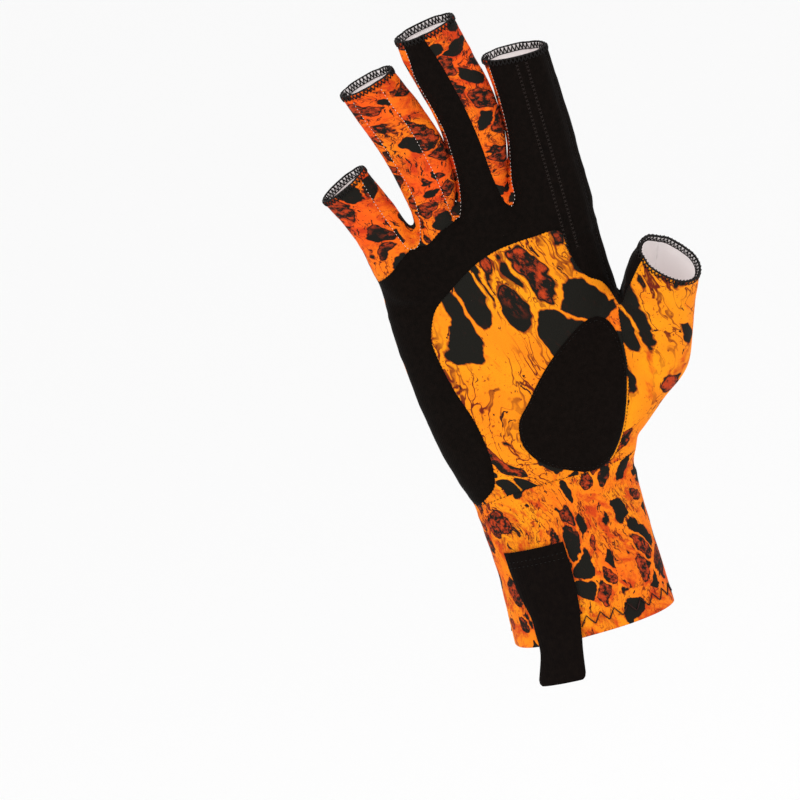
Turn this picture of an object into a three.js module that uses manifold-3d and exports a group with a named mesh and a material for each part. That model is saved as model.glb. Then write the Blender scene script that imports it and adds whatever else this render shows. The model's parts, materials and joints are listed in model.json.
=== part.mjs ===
// Fingerless fishing glove for the right hand, standing on its cuff with the palm towards -Y,
// the fingertips towards +Z and the thumb towards +X. Millimetres.
import * as THREE from 'three';
import Module from 'manifold-3d';

// Main sizes
const GLOVE_LENGTH = 262; // hem to the middle fingertip
const PALM_BREADTH = 94; // across the palm, without the thumb
const PALM_DEPTH = 30; // front to back at the middle of the palm
const CURL = 12; // how far the middle fingertip leans to the palm side
const THUMB_CURL = 21; // how far the thumb tip leans to the palm side

// Cloth
const CLOTH = 1.0; // wall of the printed and the plain panels
const PATCH_CLOTH = 1.0; // doubled patch at the root of the thumb
const TAB_CLOTH = 1.4; // pull tab
const SEAM_GAP = 0.3; // clearance between neighbouring pieces
const RIM_TALL = 2.6; // sewn rim along the finger openings
const RIM_PROUD = 0.4; // how far a rim stands out of the cloth on either face
const FOLD_DEPTH = 1.3; // folds in the cloth round the root of the thumb
const REACH = 60; // seam cuts start this far outside the glove

// Facets round a section
const BODY_FACETS = 32;
const FINGER_FACETS = 16;
const THUMB_FACETS = 20;
const BODY_SQUARENESS = 2.3;
const FINGER_SQUARENESS = 2.2;

// Hand part. Columns: height (share of length), middle x and half width (shares of palm breadth),
// half depth (share of palm depth). One row per section, from the hem to the knuckles.
const BODY = [
  [0.0000, 0.0021, 0.3638, 0.733],
  [0.0392, 0.0021, 0.3574, 0.720],
  [0.0979, 0.0021, 0.3532, 0.687],
  [0.1567, -0.0011, 0.3521, 0.653],
  [0.2037, -0.0032, 0.3543, 0.613],
  [0.2350, -0.0043, 0.3628, 0.580],
  [0.2742, 0.0000, 0.4096, 0.547],
  [0.3134, 0.0080, 0.4441, 0.527],
  [0.3721, 0.0106, 0.4734, 0.513],
  [0.4309, 0.0059, 0.4899, 0.500],
  [0.4896, -0.0016, 0.4952, 0.480],
  [0.5484, -0.0096, 0.4926, 0.447],
  [0.6072, -0.0048, 0.4920, 0.407],
  [0.6463, -0.0005, 0.4835, 0.360],
  [0.6777, 0.0266, 0.4202, 0.287],
  [0.6973, 0.0904, 0.2713, 0.183],
];

// Fingers and thumb, one row per section from the root to the tip.
// Columns: left x, left z, right x, right z (x in shares of palm breadth, z in shares of length),
// half depth (share of palm depth).
const PINKY = [
  [-0.473, 0.5797, -0.223, 0.5954, 0.367],
  [-0.503, 0.6230, -0.269, 0.6465, 0.340],
  [-0.530, 0.6707, -0.301, 0.6923, 0.313],
  [-0.560, 0.7048, -0.340, 0.7302, 0.293],
  [-0.596, 0.7369, -0.385, 0.7683, 0.273],
  [-0.638, 0.7712, -0.426, 0.8064, 0.250],
];
const RING = [
  [-0.309, 0.6072, -0.053, 0.6072, 0.367],
  [-0.293, 0.6666, -0.069, 0.6685, 0.340],
  [-0.277, 0.7065, -0.094, 0.7065, 0.323],
  [-0.279, 0.7306, -0.067, 0.7345, 0.313],
  [-0.291, 0.7627, -0.059, 0.7690, 0.307],
  [-0.317, 0.8016, -0.068, 0.8196, 0.297],
  [-0.355, 0.8498, -0.106, 0.8733, 0.283],
  [-0.394, 0.8903, -0.147, 0.9138, 0.270],
  [-0.426, 0.9289, -0.191, 0.9504, 0.253],
];
const MIDDLE = [
  [-0.074, 0.6269, 0.181, 0.6269, 0.367],
  [-0.117, 0.6745, 0.170, 0.6745, 0.340],
  [-0.085, 0.7085, 0.143, 0.7085, 0.327],
  [-0.052, 0.7345, 0.162, 0.7365, 0.317],
  [-0.046, 0.7788, 0.198, 0.7847, 0.307],
  [-0.051, 0.8253, 0.207, 0.8351, 0.297],
  [-0.077, 0.8699, 0.198, 0.8855, 0.287],
  [-0.105, 0.9125, 0.170, 0.9302, 0.277],
  [-0.128, 0.9552, 0.149, 0.9709, 0.263],
  [-0.138, 0.9899, 0.128, 1.0055, 0.253],
];
const INDEX = [
  [0.160, 0.6150, 0.484, 0.6150, 0.367],
  [0.128, 0.6666, 0.491, 0.6666, 0.340],
  [0.154, 0.7085, 0.494, 0.7085, 0.330],
  [0.181, 0.7365, 0.495, 0.7365, 0.323],
  [0.212, 0.7787, 0.495, 0.7787, 0.313],
  [0.219, 0.8352, 0.491, 0.8332, 0.300],
  [0.216, 0.8797, 0.487, 0.8770, 0.283],
  [0.205, 0.9243, 0.479, 0.9184, 0.267],
];
const THUMB = [
  [0.085, 0.3604, 0.319, 0.2389, 0.433],
  [0.191, 0.4235, 0.457, 0.2884, 0.460],
  [0.309, 0.4679, 0.585, 0.3288, 0.460],
  [0.404, 0.4956, 0.702, 0.3722, 0.443],
  [0.489, 0.5104, 0.757, 0.4144, 0.420],
  [0.530, 0.5331, 0.790, 0.4508, 0.393],
  [0.574, 0.5605, 0.821, 0.4822, 0.360],
  [0.633, 0.5865, 0.851, 0.5121, 0.327],
];

// Seam lines seen from the palm side. Columns: x (share of palm breadth), z (share of length).
const SEAM_THUMB_PANEL = [
  [0.477, 0.4922], [0.462, 0.4746], [0.449, 0.4315], [0.438, 0.3923], [0.413, 0.3531], [0.361, 0.3022],
  [0.296, 0.2654], [0.239, 0.2489],
];
const SEAM_WRIST = [
  [-0.426, 0.2313], [-0.362, 0.2352], [-0.298, 0.2411], [-0.191, 0.2470], [0.000, 0.2509], [0.213, 0.2485],
  [0.362, 0.2513], [0.479, 0.2532],
];
const SEAM_INSERT = [
  [0.477, 0.4922], [0.436, 0.5274], [0.383, 0.5431], [0.351, 0.5627], [0.330, 0.5921], [0.314, 0.6273],
  [0.213, 0.6305], [0.053, 0.6273], [-0.053, 0.6175], [-0.128, 0.6038], [-0.213, 0.5842], [-0.298, 0.5607],
  [-0.340, 0.5294], [-0.351, 0.5020], [-0.319, 0.4354], [-0.266, 0.3727], [-0.245, 0.3179], [-0.255, 0.2709],
  [-0.298, 0.2513], [-0.383, 0.2293],
];
const SEAM_SMALL_FINGERS = [
  [-0.094, 0.6904], [-0.128, 0.6856], [-0.191, 0.6776], [-0.255, 0.6629], [-0.309, 0.6657], [-0.351, 0.6587],
  [-0.394, 0.6489], [-0.426, 0.6391], [-0.479, 0.6273], [-0.553, 0.6117],
];
const SEAM_PINKY_RING = [
  [-0.473, 0.8221], [-0.457, 0.7979], [-0.426, 0.7536], [-0.383, 0.7055], [-0.351, 0.6736], [-0.330, 0.6633],
  [-0.298, 0.6629], [-0.272, 0.6776], [-0.253, 0.7135], [-0.259, 0.7536], [-0.289, 0.7979], [-0.328, 0.8463],
  [-0.372, 0.8908], [-0.404, 0.9355], [-0.415, 0.9640],
];
const SEAM_RING_MIDDLE = [
  [-0.287, 0.9681], [-0.271, 0.9396], [-0.234, 0.8949], [-0.191, 0.8544], [-0.160, 0.8059], [-0.138, 0.7657],
  [-0.126, 0.7295], [-0.116, 0.6995], [-0.096, 0.6888], [-0.074, 0.6995], [-0.047, 0.7255], [-0.032, 0.7496],
  [-0.027, 0.7938], [-0.034, 0.8342], [-0.060, 0.8787], [-0.089, 0.9233], [-0.111, 0.9640], [-0.128, 1.0211],
];
const SEAM_MIDDLE_INDEX = [
  [-0.043, 1.0293], [-0.027, 0.9925], [0.021, 0.9355], [0.053, 0.8827], [0.074, 0.8423], [0.090, 0.7938],
  [0.096, 0.7536], [0.106, 0.7235], [0.120, 0.6955], [0.145, 0.6848], [0.169, 0.6955], [0.181, 0.7215],
  [0.202, 0.7456], [0.230, 0.7898], [0.237, 0.8423], [0.234, 0.8868], [0.226, 0.9558],
];
const SEAM_GUSSET = [
  [0.460, 0.9558], [0.463, 0.9193], [0.472, 0.8544], [0.474, 0.7536], [0.470, 0.6587], [0.465, 0.5803],
  [0.464, 0.5412], [0.477, 0.4922], [0.530, 0.5159], [0.564, 0.5339], [0.606, 0.5553], [0.662, 0.5790],
  [0.702, 0.6019],
];
const PATCH_OUTLINE = [
  [0.372, 0.4804], [0.415, 0.4706], [0.436, 0.4432], [0.431, 0.3962], [0.404, 0.3531], [0.351, 0.3022],
  [0.287, 0.2670], [0.234, 0.2532], [0.160, 0.2493], [0.053, 0.2630], [-0.043, 0.2865], [-0.085, 0.3100],
  [-0.096, 0.3296], [-0.080, 0.3570], [-0.021, 0.3806], [0.053, 0.4119], [0.149, 0.4432], [0.266, 0.4714],
  [0.330, 0.4804],
];

// Seam lines on the back of the hand, same columns.
const BACK_PINKY_RING = [
  [-0.489, 0.8187], [-0.473, 0.7952], [-0.420, 0.7482], [-0.367, 0.7051], [-0.330, 0.6738], [-0.303, 0.6561],
  [-0.277, 0.6640], [-0.250, 0.6894], [-0.243, 0.7208], [-0.255, 0.7521], [-0.287, 0.7874], [-0.322, 0.8363],
  [-0.372, 0.8814], [-0.404, 0.9245], [-0.415, 0.9519],
];
const BACK_RING_MIDDLE = [
  [-0.255, 0.9597], [-0.234, 0.9362], [-0.181, 0.8970], [-0.149, 0.8657], [-0.117, 0.8344], [-0.100, 0.8030],
  [-0.096, 0.7639], [-0.106, 0.7286], [-0.116, 0.6973], [-0.096, 0.6863], [-0.064, 0.6973], [-0.021, 0.7325],
  [-0.016, 0.7834], [-0.027, 0.8226], [-0.053, 0.8696], [-0.080, 0.9205], [-0.106, 0.9793], [-0.117, 1.0106],
];
const BACK_MIDDLE_INDEX = [
  [0.074, 1.0185], [0.085, 0.9910], [0.106, 0.9519], [0.138, 0.9088], [0.163, 0.8696], [0.167, 0.8383],
  [0.160, 0.8030], [0.138, 0.7639], [0.120, 0.7286], [0.117, 0.6992], [0.138, 0.6855], [0.168, 0.6973],
  [0.213, 0.7325], [0.241, 0.7756], [0.251, 0.8304], [0.247, 0.8696], [0.237, 0.9401],
];
const BACK_GUSSET = [
  [0.411, 0.9401], [0.415, 0.9049], [0.420, 0.8422], [0.423, 0.7443], [0.420, 0.6463], [0.404, 0.5876],
  [0.379, 0.5602], [0.324, 0.5288], [0.296, 0.4936], [0.309, 0.4583], [0.362, 0.4348], [0.436, 0.4191],
  [0.500, 0.4152], [0.548, 0.4270], [0.596, 0.4564], [0.644, 0.4975], [0.686, 0.5406], [0.723, 0.5837],
  [0.755, 0.6228],
];

// Side seams, where the palm side meets the back. Columns: z, outer x, inner x.
const SIDE_LITTLE_FINGER = [
  [-0.03, -0.75, -0.15],
  [0.25, -0.75, -0.15],
  [0.55, -0.75, -0.35],
  [0.66, -0.75, -0.40],
  [0.75, -0.75, -0.46],
  [0.84, -0.80, -0.56],
];
const SIDE_CUFF = [
  [-0.03, 0.15, 0.60],
  [0.2545, 0.15, 0.60],
];

// Pull tab. Columns: z (share of length), left x, right x (shares of palm breadth).
const TAB = [
  [-0.063, -0.305, -0.111],
  [-0.059, -0.311, -0.104],
  [-0.020, -0.276, -0.087],
  [0.000, -0.266, -0.076],
  [0.020, -0.266, -0.066],
  [0.050, -0.266, -0.050],
  [0.085, -0.287, -0.041],
  [0.120, -0.298, -0.038],
  [0.157, -0.303, -0.041],
];
const TAB_FACETS = 8;

// Folds round the root of the thumb. Columns: x, z of the middle, direction (degrees from +X),
// half length (mm), half width (mm).
const FOLDS = [
  [0.50, 0.478, -28, 9, 2.2],
  [0.515, 0.435, -8, 10, 2.4],
  [0.50, 0.395, 14, 9, 2.4],
  [0.02, 0.262, 4, 26, 2.6],
];

const wasm = await Module();
wasm.setup();

function middleDepth(x, z) {
  const height = z / GLOVE_LENGTH;
  const finger = -CURL * Math.max(0, (height - 0.607) / 0.393) ** 1.5;
  const along = (x - 0.2 * PALM_BREADTH) * 0.68 + (z - 0.297 * GLOVE_LENGTH) * 0.733;
  const thumb = -THUMB_CURL * Math.max(0, along / (0.84 * PALM_BREADTH)) ** 3.2;
  const share = THREE.MathUtils.smoothstep(x, 0.46 * PALM_BREADTH, 0.54 * PALM_BREADTH);
  return height > 0.62 ? finger : finger + (thumb - finger) * share;
}

function bodySections(grow, extra) {
  const list = BODY.map(([z, x, halfWidth, halfDepth]) => ({
    centre: new THREE.Vector3(x * PALM_BREADTH, 0, z * GLOVE_LENGTH),
    width: new THREE.Vector3(1, 0, 0),
    depth: new THREE.Vector3(0, -1, 0),
    halfWidth: halfWidth * PALM_BREADTH + grow,
    halfDepth: halfDepth * PALM_DEPTH + grow,
  }));
  list[0].centre.z -= extra;
  list.at(-1).centre.z += grow;
  return list;
}

function tubeSections(table, grow, extra, depthAt) {
  const centres = table.map(([xl, zl, xr, zr]) => {
    const x = ((xl + xr) / 2) * PALM_BREADTH;
    const z = ((zl + zr) / 2) * GLOVE_LENGTH;
    return new THREE.Vector3(x, depthAt(x, z), z);
  });
  return table.map(([xl, zl, xr, zr, halfDepth], i) => {
    const across = new THREE.Vector3((xr - xl) * PALM_BREADTH, 0, (zr - zl) * GLOVE_LENGTH);
    const ahead = centres[Math.min(i + 1, table.length - 1)].clone();
    ahead.sub(centres[Math.max(i - 1, 0)]).normalize();
    const width = across.clone().normalize();
    const depth = new THREE.Vector3().crossVectors(width, ahead).normalize();
    const outward = new THREE.Vector3().crossVectors(depth, width);
    const centre = centres[i].clone();
    if (i === table.length - 1) {
      centre.addScaledVector(outward, extra);
    }
    return {
      centre,
      width,
      depth,
      outward,
      halfWidth: across.length() / 2 + grow,
      halfDepth: halfDepth * PALM_DEPTH + grow,
    };
  });
}

function sectionPoint(section, turn, squareness) {
  const c = Math.cos(turn);
  const s = Math.sin(turn);
  const wide = Math.sign(c) * Math.abs(c) ** (2 / squareness) * section.halfWidth;
  const deep = Math.sign(s) * Math.abs(s) ** (2 / squareness) * section.halfDepth;
  return section.centre.clone()
    .addScaledVector(section.width, wide)
    .addScaledVector(section.depth, deep);
}

// Folds press the cloth of the palm side inwards along short ridges.
function pressFolds(point) {
  if (point.y > middleDepth(point.x, point.z)) {
    return point;
  }
  FOLDS.forEach(([x, z, direction, halfLength, halfWidth]) => {
    const turn = THREE.MathUtils.degToRad(direction);
    const dx = point.x - x * PALM_BREADTH;
    const dz = point.z - z * GLOVE_LENGTH;
    const along = (dx * Math.cos(turn) + dz * Math.sin(turn)) / halfLength;
    const aside = (dz * Math.cos(turn) - dx * Math.sin(turn)) / halfWidth;
    point.y += FOLD_DEPTH * Math.exp(-along * along - aside * aside);
  });
  return point;
}

function solid(points, faces) {
  const mesh = new wasm.Mesh({
    numProp: 3,
    vertProperties: new Float32Array(points.flatMap((p) => [p.x, p.y, p.z])),
    triVerts: new Uint32Array(faces.flat()),
  });
  const body = new wasm.Manifold(mesh);
  if (body.volume() > 0) {
    return body;
  }
  return solid(points, faces.map(([a, b, c]) => [a, c, b]));
}

// Rings of points joined into a closed body, either in a closed row or capped at both ends.
function skin(rings, closedRow) {
  const count = rings[0].length;
  const points = rings.flat();
  const faces = [];
  const last = closedRow ? rings.length : rings.length - 1;
  for (let i = 0; i < last; i += 1) {
    for (let j = 0; j < count; j += 1) {
      const a = i * count + j;
      const b = i * count + ((j + 1) % count);
      const c = ((i + 1) % rings.length) * count + j;
      const d = ((i + 1) % rings.length) * count + ((j + 1) % count);
      faces.push([a, b, d], [a, d, c]);
    }
  }
  if (!closedRow) {
    const top = (rings.length - 1) * count;
    for (let j = 0; j < count / 2 - 1; j += 1) {
      const [a, b, c, d] = [j, j + 1, count - 2 - j, count - 1 - j];
      faces.push([a, c, b], [a, d, c]);
      faces.push([top + a, top + b, top + c], [top + a, top + c, top + d]);
    }
  }
  return solid(points, faces);
}

function loft(sections, facets, squareness) {
  const rings = sections.map((section) => {
    const ring = [];
    for (let j = 0; j < facets; j += 1) {
      ring.push(pressFolds(sectionPoint(section, (2 * Math.PI * j) / facets, squareness)));
    }
    return ring;
  });
  return skin(rings, false);
}

const FINGERS = { pinky: PINKY, ring: RING, middle: MIDDLE, index: INDEX };

function fingerDepth(x, z) {
  return -CURL * Math.max(0, (z / GLOVE_LENGTH - 0.607) / 0.393) ** 1.5;
}

function thumbDepth(x, z) {
  const along = (x - 0.2 * PALM_BREADTH) * 0.68 + (z - 0.297 * GLOVE_LENGTH) * 0.733;
  return -THUMB_CURL * Math.max(0, along / (0.84 * PALM_BREADTH)) ** 3.2;
}

function palmAndThumb(grow, extra, hemExtra) {
  const body = loft(bodySections(grow, hemExtra), BODY_FACETS, BODY_SQUARENESS);
  const thumb = loft(tubeSections(THUMB, grow, extra, thumbDepth), THUMB_FACETS, FINGER_SQUARENESS);
  return body.add(thumb);
}

function hand(grow, extra, hemExtra) {
  let whole = palmAndThumb(grow, extra, hemExtra);
  Object.values(FINGERS).forEach((table) => {
    const sections = tubeSections(table, grow, extra, fingerDepth);
    whole = whole.add(loft(sections, FINGER_FACETS, FINGER_SQUARENESS));
  });
  return whole;
}

// An upright cut that follows a seam line, from outside the glove to the middle of its hollow.
// side is -1 for the palm side and 1 for the back of the hand.
function seamCut(line, side) {
  const path = line.map(([x, z]) => new THREE.Vector2(x * PALM_BREADTH, z * GLOVE_LENGTH));
  const normals = path.slice(1).map((p, i) => {
    const ahead = p.clone().sub(path[i]).normalize();
    return new THREE.Vector2(-ahead.y, ahead.x);
  });
  const rings = path.map((p, i) => {
    const before = normals[Math.max(i - 1, 0)];
    const after = normals[Math.min(i, normals.length - 1)];
    const mitre = before.clone().add(after).normalize();
    mitre.multiplyScalar(SEAM_GAP / 2 / Math.max(0.3, mitre.dot(after)));
    const near = middleDepth(p.x, p.y);
    return [
      new THREE.Vector3(p.x + mitre.x, side * REACH, p.y + mitre.y),
      new THREE.Vector3(p.x - mitre.x, side * REACH, p.y - mitre.y),
      new THREE.Vector3(p.x - mitre.x, near, p.y - mitre.y),
      new THREE.Vector3(p.x + mitre.x, near, p.y + mitre.y),
    ];
  });
  return skin(rings, false);
}

// A flat cut that follows the middle of the glove along one of its edges.
function sideCut(rows, depthAt) {
  const rings = rows.map(([shareZ, outer, inner]) => {
    const z = shareZ * GLOVE_LENGTH;
    const y = depthAt(0, z);
    const half = SEAM_GAP / 2;
    return [
      new THREE.Vector3(outer * PALM_BREADTH, y - half, z),
      new THREE.Vector3(inner * PALM_BREADTH, y - half, z),
      new THREE.Vector3(inner * PALM_BREADTH, y + half, z),
      new THREE.Vector3(outer * PALM_BREADTH, y + half, z),
    ];
  });
  return skin(rings, false);
}

function shell() {
  const back = RIM_TALL + SEAM_GAP;
  const outside = hand(0, -back, 0);
  const inside = hand(-CLOTH, 4, 4);
  let cloth = outside.subtract(inside);
  const frontSeams = [
    SEAM_THUMB_PANEL, SEAM_WRIST, SEAM_INSERT, SEAM_SMALL_FINGERS,
    SEAM_PINKY_RING, SEAM_RING_MIDDLE, SEAM_MIDDLE_INDEX, SEAM_GUSSET,
  ];
  const backSeams = [BACK_PINKY_RING, BACK_RING_MIDDLE, BACK_MIDDLE_INDEX, BACK_GUSSET];
  frontSeams.forEach((line) => {
    cloth = cloth.subtract(seamCut(line, -1));
  });
  backSeams.forEach((line) => {
    cloth = cloth.subtract(seamCut(line, 1));
  });
  cloth = cloth.subtract(sideCut(SIDE_LITTLE_FINGER, fingerDepth));
  return cloth.subtract(sideCut(SIDE_CUFF, fingerDepth));
}

// A thin pin pushed into one face of the glove; the panel it touches carries the name.
function pin(shareX, shareZ, side) {
  const x = shareX * PALM_BREADTH;
  const z = shareZ * GLOVE_LENGTH;
  const near = middleDepth(x, z);
  const corners = [[-0.5, -0.5], [0.5, -0.5], [0.5, 0.5], [-0.5, 0.5]];
  const rings = [side * REACH, near].map((y) => (
    corners.map(([dx, dz]) => new THREE.Vector3(x + dx, y, z + dz))
  ));
  return skin(rings, false);
}

const ORANGE = 0xf37a1f;
const DEEP_ORANGE = 0xe85a17;
const BLACK = 0x17120f;
const THREAD = 0x2a2724;

// Panels. Columns: name, x, z, side of the pin, colour.
const PANELS = [
  ['back_panel', 0.0, 0.45, 1, ORANGE],
  ['palm_panel', 0.38, 0.72, -1, BLACK],
  ['palm_insert', 0.10, 0.55, -1, ORANGE],
  ['cuff_front', 0.16, 0.12, -1, ORANGE],
  ['ring_front', -0.22, 0.80, -1, DEEP_ORANGE],
  ['pinky_front', -0.48, 0.72, -1, DEEP_ORANGE],
  ['pinky_ring_side', -0.372, 0.733, -1, DEEP_ORANGE],
  ['ring_middle_side', -0.11, 0.80, -1, DEEP_ORANGE],
  ['middle_index_side', 0.145, 0.86, -1, DEEP_ORANGE],
  ['thumb_gusset', 0.44, 0.49, 1, BLACK],
];

function prism(outline, side) {
  const shape = outline.map(([x, z]) => new THREE.Vector2(x * PALM_BREADTH, z * GLOVE_LENGTH));
  const count = shape.length;
  const points = [
    ...shape.map((p) => new THREE.Vector3(p.x, side * REACH, p.y)),
    ...shape.map((p) => new THREE.Vector3(p.x, middleDepth(p.x, p.y), p.y)),
  ];
  const faces = [];
  for (let j = 0; j < count; j += 1) {
    const next = (j + 1) % count;
    faces.push([j, next, count + next], [j, count + next, count + j]);
  }
  THREE.ShapeUtils.triangulateShape(shape, []).forEach(([a, b, c]) => {
    const turn = shape[b].clone().sub(shape[a]).cross(shape[c].clone().sub(shape[a]));
    const [p, q, r] = turn > 0 ? [a, b, c] : [a, c, b];
    const ccw = THREE.ShapeUtils.area(shape) > 0;
    faces.push(ccw ? [r, q, p] : [p, q, r]);
    faces.push(ccw ? [count + p, count + q, count + r] : [count + r, count + q, count + p]);
  });
  return solid(points, faces);
}

function thenarPatch() {
  const above = palmAndThumb(SEAM_GAP + PATCH_CLOTH, 0, 0);
  const below = palmAndThumb(SEAM_GAP, 0, 0);
  return above.subtract(below).intersect(prism(PATCH_OUTLINE, -1));
}

// The front face of the cuff at a place given in millimetres.
function cuffFront(x, z) {
  const height = Math.max(z, 0) / GLOVE_LENGTH;
  const above = Math.max(1, BODY.findIndex((row) => row[0] > height));
  const share = (height - BODY[above - 1][0]) / (BODY[above][0] - BODY[above - 1][0]);
  const [, middle, wide, deep] = BODY[above - 1].map((v, k) => v + (BODY[above][k] - v) * share);
  const across = Math.abs((x - middle * PALM_BREADTH) / (wide * PALM_BREADTH));
  return -deep * PALM_DEPTH * (1 - across ** BODY_SQUARENESS) ** (1 / BODY_SQUARENESS);
}

function pullTab() {
  const faceAt = (offset) => TAB.map(([z, left, right]) => {
    const row = [];
    for (let j = 0; j <= TAB_FACETS; j += 1) {
      const x = (left + ((right - left) * j) / TAB_FACETS) * PALM_BREADTH;
      row.push(new THREE.Vector3(x, cuffFront(x, z * GLOVE_LENGTH) - offset, z * GLOVE_LENGTH));
    }
    return row;
  });
  const clear = 2 * SEAM_GAP;
  const under = faceAt(clear);
  const over = faceAt(clear + TAB_CLOTH);
  return skin(under.map((row, i) => [...row, ...over[i].toReversed()]), false);
}

// Rim profile. Columns: share of the way from the inner to the outer face, share of the height.
const RIM_PROFILE = [[0, 0], [1, 0], [1, 0.7], [0.5, 1], [0, 0.7]];

function rim(table, depthAt, facets) {
  const tip = tubeSections(table, 0, -RIM_TALL, depthAt).at(-1);
  const deep = CLOTH + 2 * RIM_PROUD;
  const rings = RIM_PROFILE.map(([out, up]) => {
    const grow = out * deep - CLOTH - RIM_PROUD;
    const section = {
      ...tip,
      centre: tip.centre.clone().addScaledVector(tip.outward, up * RIM_TALL),
      halfWidth: tip.halfWidth + grow,
      halfDepth: tip.halfDepth + grow,
    };
    const ring = [];
    for (let j = 0; j < facets; j += 1) {
      ring.push(sectionPoint(section, (2 * Math.PI * j) / facets, FINGER_SQUARENESS));
    }
    return ring;
  });
  return skin(rings, true);
}

const glove = new THREE.Group();
glove.name = 'fishing_glove';

function addPiece(name, body, colour, roughness) {
  const made = body.getMesh();
  const geometry = new THREE.BufferGeometry();
  geometry.setAttribute('position', new THREE.BufferAttribute(new Float32Array(made.vertProperties), 3));
  geometry.setIndex(new THREE.BufferAttribute(new Uint32Array(made.triVerts), 1));
  geometry.computeVertexNormals();
  const material = new THREE.MeshStandardMaterial({ color: colour, roughness, metalness: 0 });
  const piece = new THREE.Mesh(geometry, material);
  piece.name = name;
  glove.add(piece);
}

const panels = shell().decompose();
PANELS.forEach(([name, x, z, side, colour]) => {
  const probe = pin(x, z, side);
  const panel = panels.find((part) => part.intersect(probe).volume() > 0);
  addPiece(name, panel, colour, 0.85);
});
addPiece('thenar_patch', thenarPatch(), BLACK, 0.9);
addPiece('pull_tab', pullTab(), BLACK, 0.9);
addPiece('rim_thumb', rim(THUMB, thumbDepth, THUMB_FACETS), THREAD, 0.8);
Object.entries(FINGERS).forEach(([name, table]) => {
  addPiece(`rim_${name}`, rim(table, fingerDepth, FINGER_FACETS), THREAD, 0.8);
});

export default glove;
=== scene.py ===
# %% [markdown]
# # A fingerless fishing glove
# This scene dresses the plain solids of a right-hand fishing glove. The glove is thin stretch knit,
# printed in hunting orange and charcoal, with plain black panels in the palm. It stands as if a hand
# filled it: the palm faces -Y, the fingertips point to +Z and the thumb side is +X.

import json
import math
from functools import partial

import bpy
import numpy as np
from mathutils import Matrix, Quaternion, Vector, noise
from mathutils.bvhtree import BVHTree
from mathutils.kdtree import KDTree

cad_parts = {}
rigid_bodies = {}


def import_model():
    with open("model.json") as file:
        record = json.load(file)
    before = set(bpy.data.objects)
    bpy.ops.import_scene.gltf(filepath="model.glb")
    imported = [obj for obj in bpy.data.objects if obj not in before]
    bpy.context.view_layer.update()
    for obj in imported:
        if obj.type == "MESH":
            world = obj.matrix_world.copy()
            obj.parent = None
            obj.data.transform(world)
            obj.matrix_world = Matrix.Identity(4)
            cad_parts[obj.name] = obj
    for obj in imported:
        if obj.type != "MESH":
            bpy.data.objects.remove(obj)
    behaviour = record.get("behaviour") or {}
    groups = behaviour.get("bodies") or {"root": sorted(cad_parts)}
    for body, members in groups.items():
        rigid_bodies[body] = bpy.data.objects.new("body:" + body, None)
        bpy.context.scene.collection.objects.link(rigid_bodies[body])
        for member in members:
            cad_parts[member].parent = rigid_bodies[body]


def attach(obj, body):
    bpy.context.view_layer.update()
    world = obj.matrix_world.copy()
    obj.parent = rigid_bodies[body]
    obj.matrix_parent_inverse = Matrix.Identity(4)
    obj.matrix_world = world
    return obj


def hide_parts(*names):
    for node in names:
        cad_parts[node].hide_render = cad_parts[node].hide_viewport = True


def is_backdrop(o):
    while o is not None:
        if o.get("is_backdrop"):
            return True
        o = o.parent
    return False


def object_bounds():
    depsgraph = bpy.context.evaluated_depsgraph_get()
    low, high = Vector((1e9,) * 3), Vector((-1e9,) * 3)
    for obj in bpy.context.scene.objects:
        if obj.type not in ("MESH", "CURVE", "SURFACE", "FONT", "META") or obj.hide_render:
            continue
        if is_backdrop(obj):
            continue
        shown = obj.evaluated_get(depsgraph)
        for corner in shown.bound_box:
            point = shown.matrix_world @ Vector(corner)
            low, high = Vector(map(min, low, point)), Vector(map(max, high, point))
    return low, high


for thing in list(bpy.data.objects):
    bpy.data.objects.remove(thing)
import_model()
cad_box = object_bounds()
print("solids' box", [[round(v, 4) for v in corner] for corner in cad_box])

# %% [markdown]
# Every length in the tables is a share of three main sizes, and these are read from the solids' box,
# so that the cloth follows the solids when they change. Work is done in millimetres and turned to
# metres when a mesh is made.

# %% Main sizes
(left_x, front_y, _), (right_x, back_y, top_z) = cad_box
LENGTH = float(round(1000 * top_z / 1.0065))  # hem to middle fingertip; the rim adds the rest
BREADTH = float(round(1000 * (right_x - left_x) / 1.5))  # of the palm; the thumb adds half as much
DEPTH = float(round(1000 * (back_y - front_y) / 1.8))  # of the palm; the bent thumb adds the rest
CURL, THUMB_CURL = 12.0, 21.0  # how far the tips lean to the palm side
CLOTH = 0.9  # thickness of the knit
PITCH = 1.15  # size of a face of the cloth


def bend(z):
    """How far the fingers lean to the palm side at a height."""
    return -CURL * np.maximum(0, (z / LENGTH - 0.607) / 0.393) ** 1.5


def thumb_bend(x, z):
    """How far the thumb leans to the palm side at a place."""
    along = (x - 0.2 * BREADTH) * 0.68 + (z - 0.297 * LENGTH) * 0.733
    return -THUMB_CURL * np.maximum(0, along / (0.84 * BREADTH)) ** 3.2


def middle_depth(x, z):
    """Depth of the line between palm side and back."""
    share = np.clip((x / BREADTH - 0.46) / 0.08, 0, 1)
    share = share * share * (3 - 2 * share)
    both = bend(z) + (thumb_bend(x, z) - bend(z)) * share
    return np.where(z / LENGTH > 0.62, bend(z), both)


print("glove", LENGTH, "mm long,", BREADTH, "mm across and", DEPTH, "mm deep at the palm")

# %% [markdown]
# The cloth takes the shape of the hand in it: a flat tube for the palm and the cuff, and one bent
# tube for each finger and the thumb. A row of a table is one section of a tube. Blender could skin
# edges for this, but sections give each finger its own width and depth at every height. The tables
# hold shares as whole numbers: x in thousandths of the breadth, z in ten-thousandths of the length.

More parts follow.
